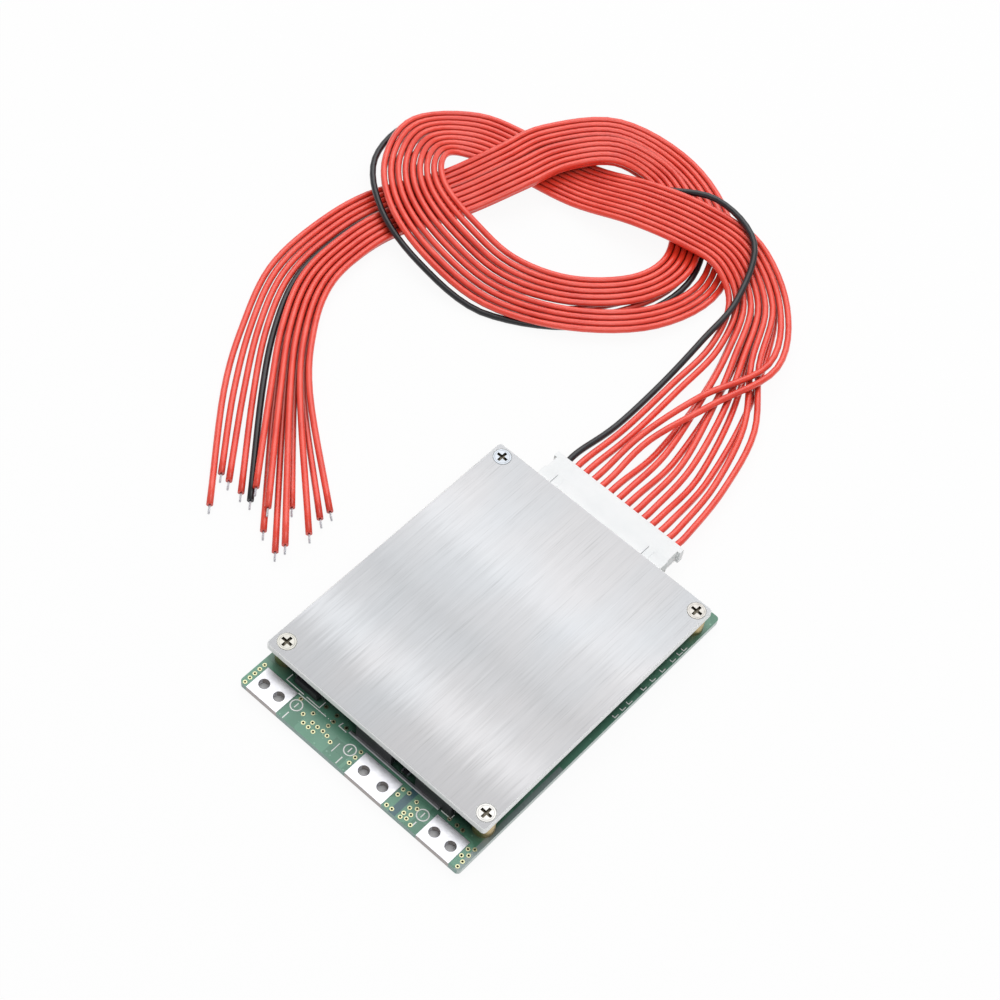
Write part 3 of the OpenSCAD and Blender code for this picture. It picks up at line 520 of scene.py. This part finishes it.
def nylon():
    """Translucent white nylon of the header and the plug."""
    s = Shader("white_nylon", (0.92, 0.93, 0.94), rough=0.42, Subsurface_Weight=0.25,
               Subsurface_Scale=0.002)
    s.bsdf.inputs["Subsurface Radius"].default_value = (1.0, 1.0, 1.0)
    s.color(s.ramp(s.noise(140), (0.3, (0.89, 0.91, 0.92)), (0.7, (0.94, 0.95, 0.96))))
    fine = s.noise(1800)
    s.rough(fine, 0.34, 0.5)
    s.bump(fine, 0.12, 0.00005)
    return s.mat


RED = jacket("red_jacket", (0.86, 0.042, 0.018), (0.95, 0.064, 0.031), (0.97, 0.090, 0.055), 0.8)
BLACK = jacket("black_jacket", (0.006, 0.006, 0.008), (0.009, 0.010, 0.014), (0.015, 0.016, 0.022),
               0.35)
GREEN = solder_mask()
ALUMINIUM = brushed_aluminium()
PAD_TIN = tinned("tinned_pad", 0.22, 0.4, edge=(0.34, 0.31, 0.30))
TIN = tinned("tin", 0.25, 0.45)
RINGS = metal("tinned_rings", (0.62, 0.61, 0.38), 0.35)
BRASS = metal("brass", (0.62, 0.48, 0.24), 0.35, (1, 1, 8))
LEAD_METAL = metal("lead_metal", (0.74, 0.74, 0.75), 0.34)
EPOXY = moulded("black_epoxy", (0.022, 0.022, 0.026), 0.5)
# Black sheet under the board's front part: painted shade standing in for the dark gap under the
# board
SHADOW_SHEET = moulded("insulation_sheet", (0.012, 0.012, 0.014), 0.6, 900)
THERMAL = moulded("thermal_pad", (0.20, 0.25, 0.31), 0.7, 900)
NYLON = nylon()
SILK = moulded("white_ink", (0.86, 0.88, 0.86), 0.6, 3000)

FINISHES = {
    "pcb": GREEN, "vias": RINGS, "insulation_sheet": SHADOW_SHEET, "heatsink_plate": ALUMINIUM,
    "pad_b": PAD_TIN, "pad_p": PAD_TIN, "pad_c": PAD_TIN, "bus_strip": TIN,
    "thermal_pad": THERMAL, "diode_body": EPOXY, "diode_leads": LEAD_METAL,
    "shunt_resistors": EPOXY, "shunt_terminals": LEAD_METAL,
    "control_ic": EPOXY, "control_ic_leads": LEAD_METAL,
    "chips": EPOXY, "chip_terminals": LEAD_METAL,
    "underside_chips": EPOXY, "underside_terminals": LEAD_METAL,
    "connector_header": NYLON, "header_pins": LEAD_METAL, "solder_joints": TIN,
    "plug_housing": NYLON, "crimp_contacts": LEAD_METAL,
}
# Tint of each screw's head
HEADS = [(0.50, 0.49, 0.45), (0.60, 0.59, 0.57), (0.50, 0.48, 0.45), (0.47, 0.50, 0.54)]
for k, tint in enumerate(HEADS, 1):
    FINISHES[f"screw_{k}"] = screw_metal(f"screw_{k}", tint)
    FINISHES[f"standoff_{k}"] = BRASS
for k in range(1, 7):
    FINISHES[f"mosfet_{k}"] = EPOXY
    FINISHES[f"leadframe_{k}"] = LEAD_METAL

for name, material in FINISHES.items():
    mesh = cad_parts[name].data
    mesh.materials.clear()
    mesh.materials.append(material)


# --- The harness's pieces ---

TIP_L = 2.5 * MM
STRAND_R = 0.085 * MM
STRANDS_RING_R = 0.18 * MM
STRANDS = 7
STRAND_SIDES = 6
# Turn of the strands along the tip, in radians
TWIST = 1.6
TIP_STEPS = 8


def make_tip(i, path):
    """Tinned strands past the end of the jacket: one in the middle, the rest twisted round it."""
    end = path[-1]
    t = end - path[-2]
    t.z = 0.0
    t = unit(t)
    u = unit(t.cross(UP))
    w = u.cross(t)
    bm = bmesh.new()
    for k in range(STRANDS):
        start = 2 * math.pi * k / (STRANDS - 1)
        r = 0.0 if k == STRANDS - 1 else STRANDS_RING_R
        points = []
        for j in range(TIP_STEPS + 1):
            a = start + TWIST * j / TIP_STEPS
            out = r * (math.cos(a) * u + math.sin(a) * w)
            points.append(end + t * (TIP_L * j / TIP_STEPS) + out)
        one = tube("strand", points, STRAND_R, STRAND_SIDES)
        bm.from_mesh(one.data)
        bpy.data.objects.remove(one)
    tip = object_of(f"tip_{i:02d}", bm)
    smooth_walls(tip.data)
    tip.data.materials.append(TIN)
    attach(tip, "root")
    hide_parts("wire_tips")
    return tip


def make_wire(i):
    path = smooth(route(i), STEPS)
    piece = tube(f"jacket_{i:02d}", path, WIRE_D / 2 * MM, SIDES)
    black = LAYER[i] == 3
    piece.data.materials.append(BLACK if black else RED)
    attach(piece, "root")
    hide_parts(f"wire_{i:02d}")
    make_tip(i, path)


for i in range(WAYS):
    make_wire(i)


# --- White ink on the board ---

INK_T = 0.02 * MM
INK_Z = BOARD_TOP + 0.005 * MM
# Widths of the lines, in millimetres like all the marks' points
MARK_W = 0.28
OUTLINE_W = 0.22


def ribbon(bm, points, width):
    """A flat line of ink through the points (millimetres); it closes where it ends at its start."""
    closed = points[0] == points[-1]
    line = [Vector(p) * MM for p in (points[:-1] if closed else points)]
    count = len(line)
    rows = []
    for k, p in enumerate(line):
        before = line[k - 1] if closed or k > 0 else 2 * p - line[k + 1]
        after = line[(k + 1) % count] if closed or k < count - 1 else 2 * p - line[k - 1]
        a, b = unit(p - before), unit(after - p)
        side = unit(Vector((-a.y - b.y, a.x + b.x)))
        side *= width * MM / 2 / side.dot(Vector((-a.y, a.x)))
        rows.append([bm.verts.new((p.x + e * side.x, p.y + e * side.y, INK_Z + h))
                     for e, h in ((1, 0), (-1, 0), (-1, INK_T), (1, INK_T))])
    for k in range(count if closed else count - 1):
        a, b = rows[k], rows[(k + 1) % count]
        for j in range(4):
            bm.faces.new((a[j], a[(j + 1) % 4], b[(j + 1) % 4], b[j]))
    if not closed:
        bm.faces.new(rows[0])
        bm.faces.new(rows[-1])


def ink(name, lines, width):
    bm = bmesh.new()
    for line in lines:
        ribbon(bm, line, width)
    bmesh.ops.recalc_face_normals(bm, faces=bm.faces)
    piece = object_of(name, bm)
    piece.data.materials.append(SILK)
    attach(piece, "root")


def ring(cx, cy, r, count=20):
    turns = [2 * math.pi * k / count for k in range(count)]
    points = [(cx + r * math.cos(a), cy + r * math.sin(a)) for a in turns]
    return points + [points[0]]


def corner(x, y, dx, dy):
    """Two strokes that meet at a part's corner."""
    return [(x - dx, y), (x, y), (x, y + dy)]


# A ring with a bar inside marks each negative terminal, with a dash in front of it
SIGN_R = 1.35
BAR = 0.7
terminal_marks = []
for x, y in ((-19.1, -41.9), (-3.5, -41.6), (17.9, -41.9)):
    terminal_marks += [ring(x, y, SIGN_R), [(x, y - BAR), (x, y + BAR)]]
terminal_marks += [
    [(-19.1, -44.2), (-19.1, -46.2)],
    [(-3.5, -43.9), (-3.5, -46.0)],
    [(18.0, -44.0), (18.0, -45.4)],
]
ink("terminal_marks", terminal_marks, MARK_W)

# Corners beside the chips on the right, then the outlines in front of the plate
CORNER_X = 31.6
CORNERS_Y = (4.4, 6.9, 9.1, 14.0, 17.1, 20.5, 24.1, 26.5, 28.1)
right_corners = [corner(CORNER_X, y, 0.8, 1.2) for y in CORNERS_Y]
ink("part_outlines", right_corners + [
    [(-19.8, -38.9), (-25.0, -38.9), (-25.0, -37.0)],
    [(-19.0, -38.9), (-15.2, -38.9), (-15.2, -37.0)],
    [(-20.9, -39.5), (-12.7, -39.4)],
    [(-12.1, -39.4), (-11.9, -39.4)],
    [(-11.4, -39.4), (-11.2, -39.4)],
    [(-9.0, -37.9), (-9.2, -39.1), (-7.0, -39.1)],
    [(19.9, -38.4), (22.6, -38.4), (22.6, -37.2)],
    [(-6.1, -42.0), (-6.1, -44.6)],
], OUTLINE_W)


# --- Floor, world and lights ---

FLOOR_SIZE = 12.0
FLOOR_Z = -0.0002
# Colour that the floor shows, and the rim under the board that still shows it
PALE = 0.93
UNDER_BOARD_IN = 0.001
SKY = 0.44
SCENE_MIDDLE = (-0.02, 0.04, 0)


def make_floor():
    """A pale floor that shows one even colour, apart from shadows and what the board covers."""
    bm = bmesh.new()
    bmesh.ops.create_grid(bm, x_segments=1, y_segments=1, size=FLOOR_SIZE)
    floor = object_of("floor", bm)
    floor.location.z = FLOOR_Z
    s = Shader("floor", (0.9, 0.9, 0.9), rough=0.9)
    s.set("Specular IOR Level", 0.0)
    glow = s.node("ShaderNodeEmission")
    glow.inputs["Strength"].default_value = 1.0
    both = s.node("ShaderNodeMixShader")
    ray = s.node("ShaderNodeLightPath").outputs
    seen = s.math("MAXIMUM", ray["Is Camera Ray"], ray["Is Glossy Ray"])
    seen = s.math("MULTIPLY", s.math("MAXIMUM", seen, ray["Is Transmission Ray"]), PALE)
    under = []
    for k, axis in enumerate("XY"):
        past = s.math("ABSOLUTE", s.math("SUBTRACT", s.axis(axis), (PCB[0][k] + PCB[1][k]) / 2))
        half = (PCB[1][k] - PCB[0][k]) / 2
        under.append(s.math("LESS_THAN", past, half - UNDER_BOARD_IN))
    seen = s.math("MULTIPLY", seen, s.math("SUBTRACT", 1.0, s.math("MULTIPLY", *under)))
    s.link(seen, both.inputs[0])
    s.link(s.bsdf.outputs[0], both.inputs[1])
    s.link(glow.outputs[0], both.inputs[2])
    s.link(both.outputs[0], s.tree.nodes["Material Output"].inputs["Surface"])
    floor.data.materials.append(s.mat)


def make_world():
    world = bpy.data.worlds.new("studio")
    bpy.context.scene.world = world
    world.use_nodes = True
    sky = world.node_tree.nodes["Background"]
    sky.inputs["Color"].default_value = (1.0, 1.0, 1.0, 1)
    sky.inputs["Strength"].default_value = SKY


def area_light(name, place, size, power):
    data = bpy.data.lights.new(name, "AREA")
    data.shape = "DISK"
    data.size = size
    data.energy = power
    light = bpy.data.objects.new(name, data)
    light.location = place
    aim = Vector(SCENE_MIDDLE) - Vector(place)
    light.rotation_euler = aim.to_track_quat("-Z", "Y").to_euler()
    bpy.context.collection.objects.link(light)


make_floor()
make_world()
area_light("softbox", (-0.39, 0.58, 0.95), 1.4, 8.2)
area_light("key", (0.35, -0.15, 0.85), 0.5, 1.6)
bpy.context.scene.view_settings.view_transform = "Standard"
